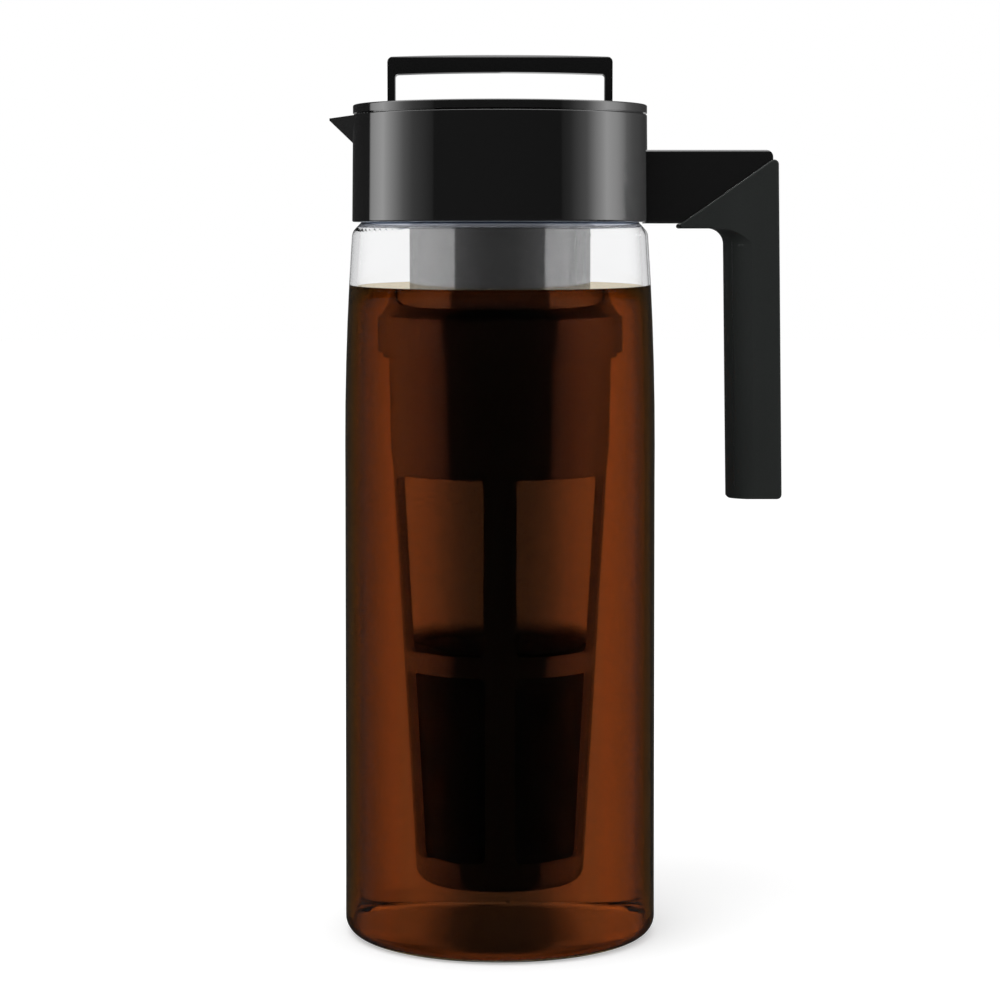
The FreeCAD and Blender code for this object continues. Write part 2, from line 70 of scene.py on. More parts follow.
# Pitcher wall
WETTED_FLOOR = 6.6 * MM         # below this height the inner surface is lost in the coffee
WETTED_MARGIN_OUT = 1.0 * MM
WETTED_MARGIN_DOWN = 0.3 * MM
ABOVE_FLOOR = 10.0 * MM         # a height inside the pitcher, just over its floor
PAINTED_SHOULDER_BAND_LOW = 242.5 * MM  # painted reflection and shade: the violet and navy band under the collar
PAINTED_SHOULDER_BAND_HIGH = 244.7 * MM
WALL_IOR = 1.12
WALL_DENSITY = 9.0

# Grounds
GROUNDS_LEVEL = 100.0 * MM
GROUNDS_DOME = 3.0 * MM
GROUNDS_DOME_RINGS = (0.95, 0.85, 0.7, 0.55, 0.4, 0.25, 0.12)       # shares of the rim's radius
GROUNDS_GAP = 0.2 * MM          # from the filter cloth
GROUNDS_FLOOR_GAP = 0.3 * MM
GROUNDS_GRAIN = 1.6 * MM        # height of the lumps on top
GROUNDS_SIDE_LUMPS = 2.2 * MM   # size of the lumps
GROUNDS_TOP_LUMPS = 4.0 * MM
GROUNDS_TOP_EDGE = 1.0 * MM     # the top's lumps reach this far down the side
GROUNDS_STEPS = 40
GROUNDS_ROUND_STEPS = 128
INSIDE_BASKET = 60.0 * MM       # a height inside the basket
SLEEVE_END = 0.1 * MM           # the sleeve is measured at least this far from its ends
SILT_BOTTOM = 99.0 * MM         # silt covers the filter cloth up to here and thins out above
SILT_TOP = 107.5 * MM
SILT_WAVES = 3.0 * MM

# Filter cloth
THREADS_ROUND = 380.0
THREADS_PER_METRE = 2200.0
THREAD_COVER = 0.13             # share of the light that clean cloth stops at its threads

# Light
AMBIENT = 0.80                  # plain level that reaches matt surfaces
OVERHEAD = 5.0                  # brightness of the ceiling panel in reflections
OVERHEAD_INSIDE = 2.6           # the same panel, mirrored behind the clear wall
OVERHEAD_START = 0.55           # upward part of a direction where the ceiling panel starts
OVERHEAD_FULL = 0.85
GROUND_MIRROR = 0.12            # what steep downward reflections meet
GROUND_START = -0.22
GROUND_FULL = -0.45
CLEAR_MIRROR = 0.04             # what the clear wall and the coffee mirror
EDGE_MIRROR = 0.80              # what the clear wall's inner side mirrors at its edges
WALL_CROSSINGS = 2.5            # a path with fewer refractions hasn't passed the wall
COFFEE_CROSSINGS = 4.5          # a path with more crossings in all comes from inside the coffee
SOFTBOX_PLACE = (-0.5, -0.7, 1.5)
SOFTBOX_SIZE = 1.2
SOFTBOX_POWER = 9.0
FLOOR_RADIUS = 6.0
FLOOR_SIDES = 96
FLOOR_GREY = 0.82
FLOOR_GLOW = 0.36               # lifts the lit floor to the backdrop's white, for the eye only

# Light panels round the horizon, as (degrees from the front, level), positive towards the
# handle. Between two entries the level changes evenly.
GLOSS_PANELS = (                # what polished black mirrors
    (-180, 0.3), (-174, 0.05), (-155, 0.03), (-122, 0.03), (-120.7, 1.9), (-116, 2.6),
    (-103, 4.5), (-91, 3.1), (-80, 1.4), (-71, 0.7), (-61, 0.4), (-53, 0.15), (-52, 0.0),
    (48, 0.0), (49, 0.12), (56, 0.3), (61, 0.66), (71, 1.3), (80, 3.3), (91, 5.1),
    (103, 3.4), (117, 0.95), (125, 0.52), (131, 0.36), (137, 0.26), (145, 0.15), (155, 0.08),
    (165, 0.08), (174, 0.2), (180, 0.6))
CLEAR_PANELS = (                # what the tube behind the clear wall mirrors
    (-180, 1.0), (-172, 1.0), (-165, 0.6), (-150, 1.1), (-120, 2.45), (-106, 3.15),
    (-91, 3.5), (-78, 3.45), (-60, 3.4), (-58, 0.75), (-40, 0.52), (-20, 0.36), (0, 0.32),
    (20, 0.36), (40, 0.52), (58, 0.75), (60, 3.4), (78, 3.45), (91, 3.5), (106, 3.15),
    (120, 2.45), (150, 1.1), (165, 0.6), (172, 1.0), (180, 1.0))
COFFEE_PANELS = (               # what the infuser mirrors in the coffee
    (-180, 0.6), (-177, 0.55), (-174.5, 0.47), (-173, 0.59), (-171.7, 0.68), (-169.5, 0.94),
    (-165, 0.97), (-160, 1.08), (-150, 1.6), (-120, 2.6), (-90, 3.0), (-63, 2.4),
    (-61, 0.40), (61, 0.40), (63, 2.4), (90, 3.0), (120, 2.6), (150, 1.1), (160, 0.77),
    (165, 0.71), (169, 0.82), (171.7, 0.68), (173, 0.59), (174.5, 0.47), (177, 0.55),
    (180, 0.6))
BACKDROP = (                    # what shows through the clear wall and the coffee
    (-180, 1.0), (120, 1.0), (145, 0.60), (162, 0.62), (169, 0.92), (174, 1.0), (180, 1.0))

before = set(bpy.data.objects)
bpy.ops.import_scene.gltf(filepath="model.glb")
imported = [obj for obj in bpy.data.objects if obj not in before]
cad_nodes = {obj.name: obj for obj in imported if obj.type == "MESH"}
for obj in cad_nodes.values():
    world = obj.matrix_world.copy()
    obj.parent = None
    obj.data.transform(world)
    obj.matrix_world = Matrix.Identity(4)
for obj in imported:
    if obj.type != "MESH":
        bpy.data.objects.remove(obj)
cad_low, cad_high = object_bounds()


# ---------------------------------------------------------------- colours
def grey(value):
    return (value, value, value, 1.0)


def colour(red, green, blue):
    return (red, green, blue, 1.0)


# Coffee's tints, as (how edge-on its side is seen, colour): red-brown where light passes, with
# painted shade darkest through the middle and at the rim
COFFEE_PAINTED_SHADE_TONES = (
    (0.0, colour(0.150, 0.085, 0.080)), (0.02, colour(0.20, 0.105, 0.100)),
    (0.045, colour(0.32, 0.140, 0.125)), (0.075, colour(0.56, 0.205, 0.145)),
    (0.108, colour(0.72, 0.235, 0.140)), (0.15, colour(0.80, 0.255, 0.130)),
    (0.187, colour(0.76, 0.240, 0.115)), (0.244, colour(0.77, 0.205, 0.072)),
    (0.313, colour(0.60, 0.158, 0.044)), (0.40, colour(0.36, 0.086, 0.012)),
    (0.44, colour(0.24, 0.060, 0.010)), (0.51, colour(0.080, 0.029, 0.006)),
    (0.545, colour(0.055, 0.025, 0.006)), (0.60, colour(0.035, 0.020, 0.008)))

# Painted reflection and shade on the shoulder, from the band's lower to its upper edge: how much
# light passes, and its colour
PAINTED_BAND_CLEARNESS = (
    (0.0, 1.0), (0.28, 0.70), (0.42, 0.70), (0.55, 0.55), (0.75, 0.55), (0.86, 0.70),
    (0.96, 0.72), (1.0, 1.0))
PAINTED_BAND_COLOURS = (
    (0.0, 0.965), (0.14, colour(0.66, 0.68, 0.76)), (0.44, colour(0.62, 0.65, 0.74)),
    (0.55, colour(0.05, 0.075, 0.13)), (0.75, colour(0.05, 0.075, 0.13)),
    (0.86, colour(0.66, 0.70, 0.76)), (0.98, colour(0.8, 0.82, 0.86)), (1.0, 0.965))


# ---------------------------------------------------------------- shader helpers
def feed(tree, socket, value):
    """Gives an input socket a number or colour, or links it to the socket that feeds it."""
    if isinstance(value, bpy.types.NodeSocket):
        tree.links.new(value, socket)
    else:
        socket.default_value = value


def add_node(tree, kind, inputs=None, **settings):
    """Adds one shader node. Inputs are numbers, colours or the sockets that feed them."""
    made = tree.nodes.new("ShaderNode" + kind)
    for name, value in settings.items():
        setattr(made, name, value)
    for key, value in (inputs or {}).items():
        feed(tree, made.inputs[key], value)
    return made


def new_material(name):
    """An empty node material and its tree."""
    made = bpy.data.materials.new(name)
    made.use_nodes = True
    made.node_tree.nodes.clear()
    return made, made.node_tree


def output(tree, surface, volume=None):
    """Ends a material's tree."""
    inputs = {"Surface": surface}
    if volume is not None:
        inputs["Volume"] = volume
    add_node(tree, "OutputMaterial", inputs)


def principled(tree, base, roughness, **sockets):
    """Principled shader; sockets are named with underscores, such as Specular_IOR_Level."""
    inputs = {"Base Color": base, "Roughness": roughness}
    inputs.update({key.replace("_", " "): value for key, value in sockets.items()})
    return add_node(tree, "BsdfPrincipled", inputs).outputs["BSDF"]


def mix_shader(tree, factor, first, second):
    """The first shader where the factor is 0, and the second where it is 1."""
    return add_node(tree, "MixShader", {"Fac": factor, 1: first, 2: second}).outputs["Shader"]


def math_node(tree, operation, *values):
    made = add_node(tree, "Math", operation=operation)
    for socket, value in zip(made.inputs, values):
        feed(tree, socket, value)
    return made.outputs["Value"]


def vector_node(tree, operation, inputs):
    return add_node(tree, "VectorMath", inputs, operation=operation).outputs["Vector"]


def mix_colour(tree, factor, first, second, blend="MIX"):
    """The first colour where the factor is 0, and the second, or their blend, where it is 1."""
    made = add_node(tree, "Mix", data_type="RGBA", blend_type=blend)
    for key, value in (("Factor", factor), ("A", first), ("B", second)):
        feed(tree, [s for s in made.inputs if s.name == key and s.enabled][0], value)
    return [s for s in made.outputs if s.enabled][0]


def object_place(tree):
    return add_node(tree, "TexCoord").outputs["Object"]


def split(tree, vector):
    """Outputs X, Y and Z of a vector."""
    return add_node(tree, "SeparateXYZ", {"Vector": vector}).outputs


def noise_texture(tree, scale, detail=3.0, stretch=(1, 1, 1)):
    """3-D noise in object coordinates; scale is in cycles per metre."""
    mapping = add_node(tree, "Mapping", {"Vector": object_place(tree), "Scale": stretch})
    return add_node(tree, "TexNoise", {"Vector": mapping.outputs["Vector"], "Scale": scale,
                                       "Detail": detail}).outputs["Fac"]


def remap(tree, value, low, high):
    """A 0 to 1 value spread over low to high."""
    return add_node(tree, "MapRange", {"Value": value, "To Min": low,
                                       "To Max": high}).outputs["Result"]


def share_between(tree, value, start, end, **settings):
    """0 to 1 as the value goes from start to end."""
    return add_node(tree, "MapRange", {"Value": value, "From Min": start, "From Max": end},
                    **settings).outputs["Result"]


def ramp(tree, value, stops):
    """Colour ramp; stops are (position, grey level or colour)."""
    made = add_node(tree, "ValToRGB", {"Fac": value})
    elements = made.color_ramp.elements
    elements.remove(elements[1])
    elements[0].position = stops[0][0]
    chosen = [elements[0]] + [elements.new(position) for position, _ in stops[1:]]
    for element, (_, level) in zip(chosen, stops):
        element.color = level if isinstance(level, tuple) else grey(level)
    return made.outputs["Color"]


def bump(tree, height, distance):
    return add_node(tree, "Bump", {"Height": height, "Distance": distance}).outputs["Normal"]


def edge_on(tree):
    """0 where a surface is seen face on, up to 1 where it is seen from the side."""
    return add_node(tree, "LayerWeight", {"Blend": 0.5}).outputs["Facing"]


def seen_from_inside(tree):
    return add_node(tree, "NewGeometry").outputs["Backfacing"]


def out_of_mirrors(tree):
    """Alpha that leaves a piece out of mirror images, which show the light panels alone."""
    path = add_node(tree, "LightPath").outputs
    return math_node(tree, "LESS_THAN", path["Glossy Depth"], 0.5)


def out_of_glass(tree):
    """Alpha that leaves a piece out of the mirror images seen in or through the clear wall."""
    path = add_node(tree, "LightPath").outputs
    through = math_node(tree, "MULTIPLY", path["Glossy Depth"], path["Transmission Depth"])
    return math_node(tree, "LESS_THAN", through, 0.5)


def softened_normal(tree, share):
    """Normal leaned outwards from the Z axis, so that flat edges shade like rounded ones."""
    level = vector_node(tree, "MULTIPLY", {0: object_place(tree), 1: (1, 1, 0)})
    outward = add_node(tree, "VectorTransform", {"Vector": level}, vector_type="VECTOR",
                       convert_from="OBJECT", convert_to="WORLD").outputs["Vector"]
    outward = vector_node(tree, "NORMALIZE", {0: outward})
    leaning = vector_node(tree, "SCALE", {0: outward, "Scale": share})
    normal = add_node(tree, "NewGeometry").outputs["Normal"]
    total = vector_node(tree, "ADD", {0: normal, 1: leaning})
    return vector_node(tree, "NORMALIZE", {0: total})


# ---------------------------------------------------------------- measures of the CAD nodes
def inner_radius(node, height):
    """Radius of a hollow CAD node's inner side at a height."""
    found, place, _, _ = cad_nodes[node].ray_cast(Vector((0, 0, height)), Vector((1, 0, 0)))
    if not found:
        raise ValueError(f"{node} has no wall at height {height}")
    return place.x


def outer_radius(node, height):
    """Radius of a round CAD node's outside at a height, measured on the spout's side."""
    _, place, _, _ = cad_nodes[node].ray_cast(Vector((-0.3, 0, height)), Vector((1, 0, 0)))
    return -place.x


def floor_height(node, start):
    """Height of the first surface of a CAD node below a point beside the axis."""
    _, place, _, _ = cad_nodes[node].ray_cast(Vector((0.001, 0, start)), Vector((0, 0, -1)))
    return place.z


# ---------------------------------------------------------------- materials
def wetted_floor(tree):
    """1 on the pitcher's inner surface low in the base, where coffee lies on both sides."""
    place = split(tree, object_place(tree))
    across = math_node(tree, "POWER", place["X"], 2.0)
    along = math_node(tree, "POWER", place["Y"], 2.0)
    radius = math_node(tree, "SQRT", math_node(tree, "ADD", across, along))
    inside = math_node(tree, "LESS_THAN", radius,
                       inner_radius("pitcher_body", WETTED_FLOOR) + WETTED_MARGIN_OUT)
    above = math_node(tree, "GREATER_THAN", place["Z"],
                      floor_height("pitcher_body", ABOVE_FLOOR) - WETTED_MARGIN_DOWN)
    below = math_node(tree, "LESS_THAN", place["Z"], WETTED_FLOOR)
    return math_node(tree, "MULTIPLY", math_node(tree, "MULTIPLY", inside, above), below)


def clear_plastic():
    """Clear pitcher wall: faint cool tint in its depth, almost no mirror image face on, and a
    painted band of reflection and shade under the collar.
    """
    made, tree = new_material("clear_plastic")
    ripple = bump(tree, noise_texture(tree, 40.0, 1.0), 0.006 * MM)
    # Painted reflection and shade: a violet and navy band low on the shoulder under the collar
    painted_band = share_between(tree, split(tree, object_place(tree))["Z"], PAINTED_SHOULDER_BAND_LOW,
                         PAINTED_SHOULDER_BAND_HIGH)
    wall = principled(tree, ramp(tree, painted_band, PAINTED_BAND_COLOURS), 0.0,
                      Transmission_Weight=ramp(tree, painted_band, PAINTED_BAND_CLEARNESS), IOR=WALL_IOR,
                      Specular_Tint=grey(0.1), Normal=ripple)
    nothing = add_node(tree, "BsdfTransparent").outputs["BSDF"]
    depth = add_node(tree, "VolumeAbsorption", {"Color": colour(0.50, 0.53, 0.61),
                                                "Density": WALL_DENSITY})
    output(tree, mix_shader(tree, wetted_floor(tree), wall, nothing), depth.outputs["Volume"])
    return made


def gloss_black(name, shown):
    """Polished black plastic with a very slight moulded waviness; shown gives its alpha."""
    made, tree = new_material(name)
    wave = bump(tree, noise_texture(tree, 55.0, 1.0), 0.01 * MM)
    polish = remap(tree, noise_texture(tree, 160.0), 0.035, 0.075)
    output(tree, principled(tree, grey(0.0085), polish, IOR=1.5, Normal=wave,
                            Alpha=shown(tree)))
    return made


def satin_black(name, level, roughness, specular=0.5, tint=grey(1.0), softening=0.0,
                hidden=False):
    """Black moulded plastic with a fine even grain; hidden keeps it out of mirror images."""
    made, tree = new_material(name)
    grains = noise_texture(tree, 900.0, 2.0)
    shade = mix_colour(tree, noise_texture(tree, 90.0), grey(0.85 * level), grey(1.15 * level))
    rough = remap(tree, grains, 0.8 * roughness, 1.2 * roughness)
    normal = bump(tree, grains, 0.004 * MM)
    if softening:
        tree.links.new(softened_normal(tree, softening), normal.node.inputs["Normal"])
    output(tree, principled(tree, shade, rough, IOR=1.5, Specular_IOR_Level=specular,
                            Specular_Tint=tint, Normal=normal,
                            Alpha=out_of_mirrors(tree) if hidden else 1.0))
    return made


def grip_silicone():
    """Matt charcoal silicone with a fine spark-eroded texture and light handling marks."""
    made, tree = new_material("grip_silicone")
    grains = noise_texture(tree, 1600.0)
    marks = ramp(tree, noise_texture(tree, 35.0, 4.0, (1, 1, 0.4)), ((0.35, 0.0), (0.75, 1.0)))
    shade = mix_colour(tree, marks, colour(0.0135, 0.0155, 0.0147),
                       colour(0.0170, 0.0192, 0.0183))
    rough = remap(tree, grains, 0.55, 0.75)
    output(tree, principled(tree, shade, rough, IOR=1.41, Specular_IOR_Level=0.3,
                            Normal=bump(tree, grains, 0.04 * MM), Sheen_Weight=0.02,
                            Sheen_Roughness=0.4, Alpha=out_of_mirrors(tree)))
    return made


def seal_silicone():
    """Milky silicone of the gaskets."""
    made, tree = new_material("seal_silicone")
    cloud = mix_colour(tree, noise_texture(tree, 120.0), colour(0.50, 0.50, 0.48),
                       colour(0.62, 0.62, 0.59))
    output(tree, principled(tree, cloud, 0.45, Subsurface_Weight=0.3,
                            Subsurface_Radius=(1.0, 1.0, 0.9), Subsurface_Scale=1.0 * MM))
    return made


def filter_cloth():
    """Fine nylon weave with open gaps, stained by coffee, with wet silt low down."""
    made, tree = new_material("filter_mesh")
    place = split(tree, object_place(tree))
    angle = math_node(tree, "ARCTAN2", place["Y"], place["X"])
    across = math_node(tree, "SINE", math_node(tree, "MULTIPLY", angle, THREADS_ROUND))
    along = math_node(tree, "SINE", math_node(tree, "MULTIPLY", place["Z"],
                                              THREADS_PER_METRE * math.tau))
    weave = math_node(tree, "MAXIMUM", across, along)
    threads = math_node(tree, "POWER", math_node(tree, "MAXIMUM", weave, 0.0), 5.0)
    waves = math_node(tree, "MULTIPLY", noise_texture(tree, 110.0), SILT_WAVES)
    waves = math_node(tree, "SUBTRACT", waves, SILT_WAVES / 2)
    silt = share_between(tree, math_node(tree, "ADD", place["Z"], waves), SILT_TOP, SILT_BOTTOM,
                         interpolation_type="SMOOTHSTEP")
    cover = math_node(tree, "MULTIPLY", threads, THREAD_COVER)
    stain = mix_colour(tree, noise_texture(tree, 60.0, 4.0), colour(0.035, 0.016, 0.008),
                       colour(0.085, 0.042, 0.020))
    patches = ramp(tree, noise_texture(tree, 75.0), ((0.45, 0.0), (0.75, 1.0)))
    sludge = mix_colour(tree, patches, colour(0.0012, 0.0006, 0.0005),
                        colour(0.014, 0.008, 0.0055))
    output(tree, principled(tree, mix_colour(tree, silt, stain, sludge), 0.55,
                            Specular_IOR_Level=0.08, Normal=bump(tree, weave, 0.05 * MM),
                            Alpha=math_node(tree, "MAXIMUM", cover, silt)))
    return made


def coffee_volume(tree):
    """What the coffee's depth takes out of the light."""
    strongest = max(COFFEE_ABSORPTION)
    kept = [1 - each / strongest for each in COFFEE_ABSORPTION]
    return add_node(tree, "VolumeAbsorption", {"Color": colour(*kept),
                                               "Density": strongest}).outputs["Volume"]


def coffee():
    """The coffee's side. Its tint, with painted shade through the middle and at the rim, goes on
    once, where light enters, and its rim bends nothing.
    """
    made, tree = new_material("coffee")
    facing = edge_on(tree)
    # Painted shade: the tint darkens through the middle and at the rim by how edge-on the side is
    # seen
    painted_shade_tones = ramp(tree, facing, COFFEE_PAINTED_SHADE_TONES)
    leaving = seen_from_inside(tree)
    # A principled shader takes the square root of the tint of what it transmits
    squared = mix_colour(tree, 1.0, painted_shade_tones, painted_shade_tones, "MULTIPLY")
    side = principled(tree, mix_colour(tree, leaving, squared, grey(1.0)), 0.0,
                      Transmission_Weight=1.0, IOR=COFFEE_IOR, Specular_Tint=grey(0.1))
    rim = add_node(tree, "BsdfTransparent", {"Color": mix_colour(tree, leaving, painted_shade_tones,
                                                                 grey(1.0))})
    near_rim = ramp(tree, facing, ((0.42, 0.0), (0.50, 1.0)))
    output(tree, mix_shader(tree, near_rim, side, rim.outputs["BSDF"]), coffee_volume(tree))
    return made


def coffee_bottom():
    """Underside of the coffee, in the pitcher's base."""
    made, tree = new_material("coffee_bottom")
    haze = remap(tree, noise_texture(tree, 30.0), 0.02, 0.05)
    output(tree, principled(tree, grey(1.0), haze, Transmission_Weight=1.0, IOR=COFFEE_IOR,
                            Specular_Tint=grey(0.1)), coffee_volume(tree))
    return made


def coffee_surface():
    """The coffee's upper surface: dark from above, pale at a low angle, a mirror from below."""
    made, tree = new_material("coffee_surface")
    froth = noise_texture(tree, 420.0)
    body = principled(tree, colour(0.030, 0.012, 0.005), 0.05, IOR=1.33,
                      Normal=bump(tree, froth, 0.01 * MM))
    crema = mix_colour(tree, froth, colour(0.68, 0.61, 0.48), colour(0.77, 0.70, 0.57))
    film = add_node(tree, "BsdfAnisotropic", {"Color": crema, "Roughness": 0.12})
    low_angle = ramp(tree, edge_on(tree), ((0.82, 0.0), (0.955, 1.0)))
    above = mix_shader(tree, low_angle, body, film.outputs["BSDF"])
    below = principled(tree, colour(0.28, 0.25, 0.22), 0.02, Metallic=1.0)
    output(tree, mix_shader(tree, seen_from_inside(tree), above, below))
    return made


def coffee_grounds():
    """Wet, coarse, nearly black grounds."""
    made, tree = new_material("coffee_grounds")
    grains = noise_texture(tree, 700.0, 4.0)
    shade = mix_colour(tree, grains, colour(0.004, 0.002, 0.0012), colour(0.018, 0.008, 0.004))
    output(tree, principled(tree, shade, 0.6, Specular_IOR_Level=0.2,
                            Normal=bump(tree, grains, 0.6 * MM)))
    return made


def dress_cad_nodes():
    """Gives every CAD node its finish."""
    gloss = gloss_black("gloss_black", out_of_glass)
    collar = gloss_black("collar_black", out_of_mirrors)
    core = satin_black("core_black", 0.012, 0.32, hidden=True)
    plug = satin_black("plug_black", 0.012, 0.32)
    basket = satin_black("basket_black", 0.006, 0.10, tint=colour(1.0, 0.88, 0.74),
                         softening=0.9)
    tube = satin_black("neck_black", 0.006, 0.07, specular=1.0)
    silicone = seal_silicone()
    cloth = filter_cloth()
    finishes = {
        "pitcher_body": clear_plastic(), "collar": collar, "lid_cap": gloss,
        "bail_handle": gloss, "handle_core": core, "lid_plug": plug,
        "handle_grip": grip_silicone(), "infuser_neck": tube, "infuser_ring": basket,
        "basket_frame": basket, "mesh_upper": cloth, "mesh_lower": cloth,
        "collar_gasket": silicone, "lid_gasket": silicone, "neck_gasket": silicone,
    }
    for name, finish in finishes.items():
        cad_nodes[name].material_slots[0].material = finish


# ---------------------------------------------------------------- modelled pieces
def lathe(name, profile, steps):
    """Smooth mesh of revolution about Z from (radius, height) points; radius 0 closes it.

    Each stretch of the profile gives one band of faces, steps faces long.
    """
    vertices, faces, rings = [], [], []
    for radius, height in profile:
        if radius == 0:
            rings.append([len(vertices)])
            vertices.append((0, 0, height))
            continue
        rings.append(list(range(len(vertices), len(vertices) + steps)))
        for step in range(steps):
            angle = math.tau * step / steps
            vertices.append((radius * math.cos(angle), radius * math.sin(angle), height))
    for lower, upper in zip(rings, rings[1:]):
        for step in range(steps):
            following = (step + 1) % steps
            corners = [lower[step % len(lower)], lower[following % len(lower)],
                       upper[following % len(upper)], upper[step % len(upper)]]
            faces.append(list(dict.fromkeys(corners)))
    mesh = bpy.data.meshes.new(name)
    mesh.from_pydata(vertices, [], faces)
    mesh.shade_smooth()
    made = bpy.data.objects.new(name, mesh)
    bpy.context.scene.collection.objects.link(made)
    return made


def coffee_profile():
    """Outline of the coffee. It fills the thick base to a thin skin, as bent light shows it."""
    bottom = outer_radius("pitcher_body", COFFEE_SKIN_BOTTOM) - 2 * COFFEE_SKIN
    profile = [(0, COFFEE_SKIN_BOTTOM), (bottom, COFFEE_SKIN_BOTTOM)]
    start = COFFEE_SKIN_BOTTOM + COFFEE_BOTTOM_EDGE
    for step in range(COFFEE_BASE_STEPS + 1):
        share = step / COFFEE_BASE_STEPS
        height = start + (COFFEE_BASE_TOP - start) * share
        skin = outer_radius("pitcher_body", height) - COFFEE_SKIN
        wall = inner_radius("pitcher_body", max(height, WETTED_FLOOR)) + COFFEE_OVERLAP
        profile.append((skin + (wall - skin) * share, height))
    for step in range(1, COFFEE_WALL_STEPS + 1):
        height = COFFEE_BASE_TOP + (COFFEE_LEVEL - COFFEE_BASE_TOP) * step / COFFEE_WALL_STEPS
        profile.append((inner_radius("pitcher_body", height) + COFFEE_OVERLAP, height))
    profile.append((profile[-1][0] - COFFEE_RIM_STEP, COFFEE_LEVEL))
    profile.append((0, COFFEE_LEVEL))
    return profile


def make_coffee():
    """The brew, with its side, its upper surface and its bottom as three finishes."""
    profile = coffee_profile()
    made = lathe("coffee", profile, COFFEE_ROUND_STEPS)
    slope = math.tan(math.radians(COFFEE_TILT))
    for vertex in made.data.vertices:
        if vertex.co.z > COFFEE_LEVEL - SAME_HEIGHT:
            vertex.co.z += slope * (vertex.co.y + profile[-2][0])
    for finish in (coffee(), coffee_surface(), coffee_bottom()):
        made.data.materials.append(finish)
    surface_start = (len(profile) - 3) * COFFEE_ROUND_STEPS     # its last two bands
    bottom_end = 2 * COFFEE_ROUND_STEPS                         # its first two bands
    for face in made.data.polygons:
        if face.index >= surface_start:
            face.material_index = 1
        elif face.index < bottom_end:
            face.material_index = 2
    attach(made, "pitcher")


def make_grounds():
    """Heap of wet grounds in the lower basket, with a rough, slightly domed top."""
    bottom = floor_height("basket_frame", INSIDE_BASKET) + GROUNDS_FLOOR_GAP
    sleeve_low, sleeve_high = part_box("mesh_lower")
    profile = [(0, bottom)]
    for step in range(GROUNDS_STEPS + 1):
        height = bottom + (GROUNDS_LEVEL - bottom) * step / GROUNDS_STEPS
        inside = min(max(height, sleeve_low.z + SLEEVE_END), sleeve_high.z - SLEEVE_END)
        profile.append((inner_radius("mesh_lower", inside) - GROUNDS_GAP, height))
    rim = profile[-1][0]
    for share in GROUNDS_DOME_RINGS:
        profile.append((rim * share, GROUNDS_LEVEL + GROUNDS_DOME * (1 - share)))
    profile.append((0, GROUNDS_LEVEL + GROUNDS_DOME))
    made = lathe("coffee_grounds", profile, GROUNDS_ROUND_STEPS)
    top_lumps_start = Vector((7, 3, 1))     # apart from the side's, so the two don't match
    for vertex in made.data.vertices:
        lump = noise.noise(vertex.co / GROUNDS_SIDE_LUMPS) - 0.5
        outward = Vector((vertex.co.x, vertex.co.y, 0))
        if outward.length > 0:
            vertex.co += outward.normalized() * GROUNDS_GRAIN * 0.5 * min(lump, 0.0)
        if vertex.co.z > GROUNDS_LEVEL - GROUNDS_TOP_EDGE:
            place = vertex.co / GROUNDS_TOP_LUMPS + top_lumps_start
            vertex.co.z += GROUNDS_GRAIN * noise.noise(place)
    made.data.materials.append(coffee_grounds())
    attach(made, "infuser")


# ---------------------------------------------------------------- studio
def panel_ramp(tree, position, stops):
    """Brightness round the horizon, from stops of (degrees from the front, level)."""
    brightest = max(level for _, level in stops)
    shades = ramp(tree, position,
                  [(angle / 360 + 0.5, level / brightest) for angle, level in stops])
    return vector_node(tree, "SCALE", {0: shades, "Scale": brightest})


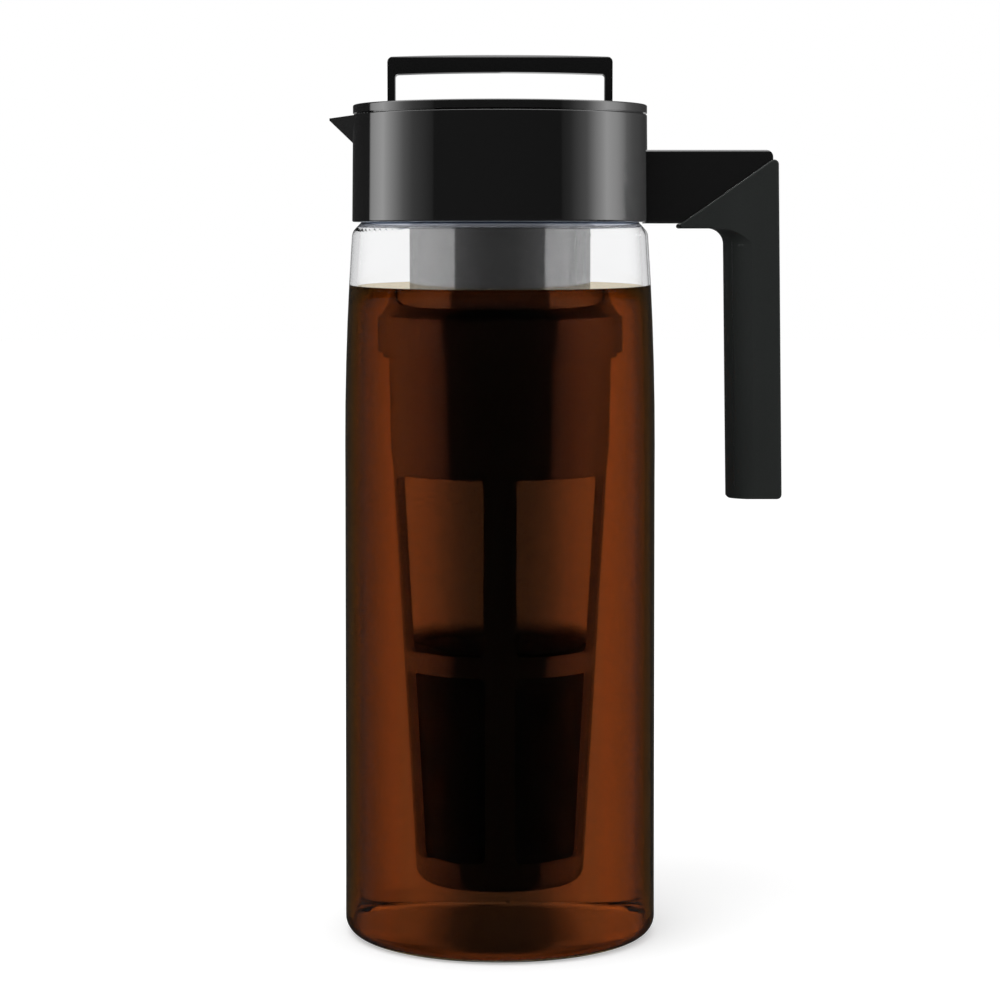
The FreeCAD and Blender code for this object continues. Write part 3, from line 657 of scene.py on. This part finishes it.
def make_world():
    """White room, white to the eye and through glass. Mirror images show dark flags and panels.

    The panels differ for what the polished black, the tube behind the clear wall and the
    infuser in the coffee mirror, told apart by how many surfaces the path has crossed.
    """
    world = bpy.data.worlds.new("studio")
    bpy.context.scene.world = world
    world.use_nodes = True
    tree = world.node_tree
    tree.nodes.clear()
    direction = split(tree, add_node(tree, "TexCoord").outputs["Generated"])
    forward = math_node(tree, "MULTIPLY", direction["Y"], -1.0)
    azimuth = math_node(tree, "ARCTAN2", direction["X"], forward)
    position = share_between(tree, azimuth, -math.pi, math.pi)
    overhead = share_between(tree, direction["Z"], OVERHEAD_START, OVERHEAD_FULL)
    ground = share_between(tree, direction["Z"], GROUND_START, GROUND_FULL)
    path = add_node(tree, "LightPath").outputs

    # Mirror images in the polished black
    mirrored = mix_colour(tree, overhead, panel_ramp(tree, position, GLOSS_PANELS),
                          grey(OVERHEAD))
    mirrored = mix_colour(tree, ground, mirrored, grey(GROUND_MIRROR))

    # Mirror images behind the clear wall
    crossings = math_node(tree, "ADD", path["Transmission Depth"], path["Transparent Depth"])
    in_coffee = math_node(tree, "GREATER_THAN", crossings, COFFEE_CROSSINGS)
    in_wall = math_node(tree, "LESS_THAN", path["Transmission Depth"], WALL_CROSSINGS)
    inside = mix_colour(tree, in_coffee, panel_ramp(tree, position, CLEAR_PANELS),
                        panel_ramp(tree, position, COFFEE_PANELS))
    inside = mix_colour(tree, overhead, inside, grey(OVERHEAD_INSIDE))
    inside = mix_colour(tree, in_wall, inside, grey(EDGE_MIRROR))

    # Which of them a ray meets
    seen = math_node(tree, "MAXIMUM", path["Is Camera Ray"], path["Is Transmission Ray"])
    has_mirrored = math_node(tree, "GREATER_THAN", path["Glossy Depth"], 0.5)
    is_mirror = math_node(tree, "MULTIPLY", path["Is Glossy Ray"], path["Is Reflection Ray"])
    is_clear = math_node(tree, "MULTIPLY", is_mirror, path["Is Singular Ray"])
    light = mix_colour(tree, path["Is Transmission Ray"], grey(1.0),
                       panel_ramp(tree, position, BACKDROP))
    light = mix_colour(tree, seen, grey(AMBIENT), light)
    light = mix_colour(tree, has_mirrored, light, inside)
    light = mix_colour(tree, is_mirror, light, mirrored)
    light = mix_colour(tree, is_clear, light, grey(CLEAR_MIRROR))
    background = add_node(tree, "Background", {"Color": light})
    add_node(tree, "OutputWorld", {"Surface": background.outputs["Background"]})


def make_floor():
    """Pale floor that keeps the object's shadow; mirrors and glass show the white room."""
    bpy.ops.mesh.primitive_circle_add(vertices=FLOOR_SIDES, radius=FLOOR_RADIUS,
                                      fill_type="NGON")
    floor = bpy.context.object
    floor.name = "floor"
    made, tree = new_material("floor")
    path = add_node(tree, "LightPath").outputs
    paper = add_node(tree, "BsdfDiffuse", {"Color": grey(FLOOR_GREY)}).outputs["BSDF"]
    glow = add_node(tree, "Emission", {"Color": grey(1.0), "Strength": FLOOR_GLOW})
    lit = add_node(tree, "AddShader", {0: paper, 1: glow.outputs["Emission"]})
    output(tree, mix_shader(tree, path["Is Camera Ray"], paper, lit.outputs["Shader"]))
    floor.data.materials.append(made)
    floor.visible_glossy = False
    floor.visible_transmission = False


def make_softbox():
    """Square area lamp above the camera's left, left out of mirror images."""
    lamp = bpy.data.lights.new("top_softbox", "AREA")
    lamp.size = SOFTBOX_SIZE
    lamp.energy = SOFTBOX_POWER
    made = bpy.data.objects.new("top_softbox", lamp)
    made.location = SOFTBOX_PLACE
    aim = Vector((0, 0, (cad_low.z + cad_high.z) / 2)) - Vector(SOFTBOX_PLACE)
    made.rotation_euler = aim.to_track_quat("-Z", "Y").to_euler()
    made.visible_glossy = False
    made.visible_transmission = False
    bpy.context.scene.collection.objects.link(made)


def make_camera():
    """Camera in front of the object, on its middle plane."""
    data = bpy.data.cameras.new("camera")
    data.sensor_width = CAMERA_SENSOR
    data.lens = CAMERA_LENS
    made = bpy.data.objects.new("camera", data)
    made.location = (0, -CAMERA_DISTANCE, CAMERA_HEIGHT)
    made.rotation_euler = (math.radians(90 - CAMERA_TILT), 0, 0)
    bpy.context.scene.collection.objects.link(made)
    bpy.context.scene.camera = made


# ---------------------------------------------------------------- scene
make_camera()
dress_cad_nodes()
make_coffee()
make_grounds()
make_world()
make_floor()
make_softbox()
bpy.context.scene.view_settings.view_transform = "Standard"
